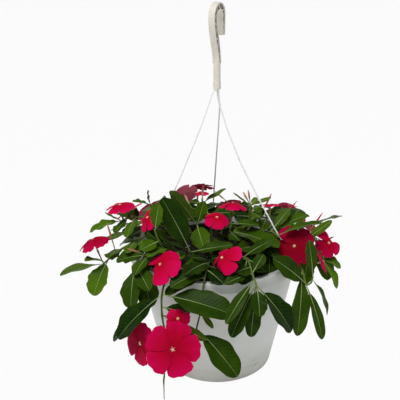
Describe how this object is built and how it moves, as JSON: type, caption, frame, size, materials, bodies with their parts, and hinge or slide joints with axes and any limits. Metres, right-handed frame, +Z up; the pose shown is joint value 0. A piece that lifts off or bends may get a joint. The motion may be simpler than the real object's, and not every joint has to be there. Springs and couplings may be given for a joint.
{
  "type": "vinca hanging basket",
  "caption": "White plastic hanging pot on stiff coated strands and a ribbed hook, planted with a trailing vinca of glossy leaves and flat crimson blooms.",
  "frame": {"origin": "Middle of the pot's flat underside.", "axes": "+Z up through the pot, the strands and the hook; -Y towards the front of the plant; +X to its right."},
  "size_m": [0.4087, 0.3734, 0.532],
  "materials": {
    "white_plastic": "semi-matte, faintly scuffed",
    "potting_mix": "crumbly peat and bark",
    "cream_plastic": "satin, weathered",
    "coated_wire": "smooth plastic coating over steel wire",
    "leaf": "glossy living leaf and stem",
    "petal": "velvety living petal"
  },
  "bodies": {
    "root": {"pot": "white_plastic", "potting_soil": "potting_mix", "hanger_hook": "cream_plastic", "strand_left": "coated_wire", "strand_right": "coated_wire", "strand_back": "coated_wire", "leafy_stem_01": "leaf", "leafy_stem_02": "leaf", "leafy_stem_03": "leaf", "leafy_stem_04": "leaf", "leafy_stem_05": "leaf", "leafy_stem_06": "leaf", "leafy_stem_07": "leaf", "leafy_stem_08": "leaf", "leafy_stem_09": "leaf", "leafy_stem_10": "leaf", "leafy_stem_11": "leaf", "leafy_stem_12": "leaf", "leafy_stem_13": "leaf", "leafy_stem_14": "leaf", "leafy_stem_15": "leaf", "leafy_stem_16": "leaf", "leafy_stem_17": "leaf", "leafy_stem_18": "leaf", "leafy_stem_19": "leaf", "leafy_stem_20": "leaf", "leafy_stem_21": "leaf", "bloom_01": "petal", "bloom_02": "petal", "bloom_03": "petal", "bloom_04": "petal", "bloom_05": "petal", "bloom_06": "petal", "bloom_07": "petal", "bloom_08": "petal", "bloom_09": "petal", "bloom_10": "petal", "bloom_11": "petal", "bloom_12": "petal", "bloom_13": "petal", "bloom_14": "petal", "bloom_15": "petal", "bloom_16": "petal", "bloom_17": "petal", "bloom_18": "petal", "bloom_19": "petal", "bloom_20": "petal", "bloom_21": "petal", "bloom_22": "petal", "bloom_23": "petal"}
  },
  "joints": []
}
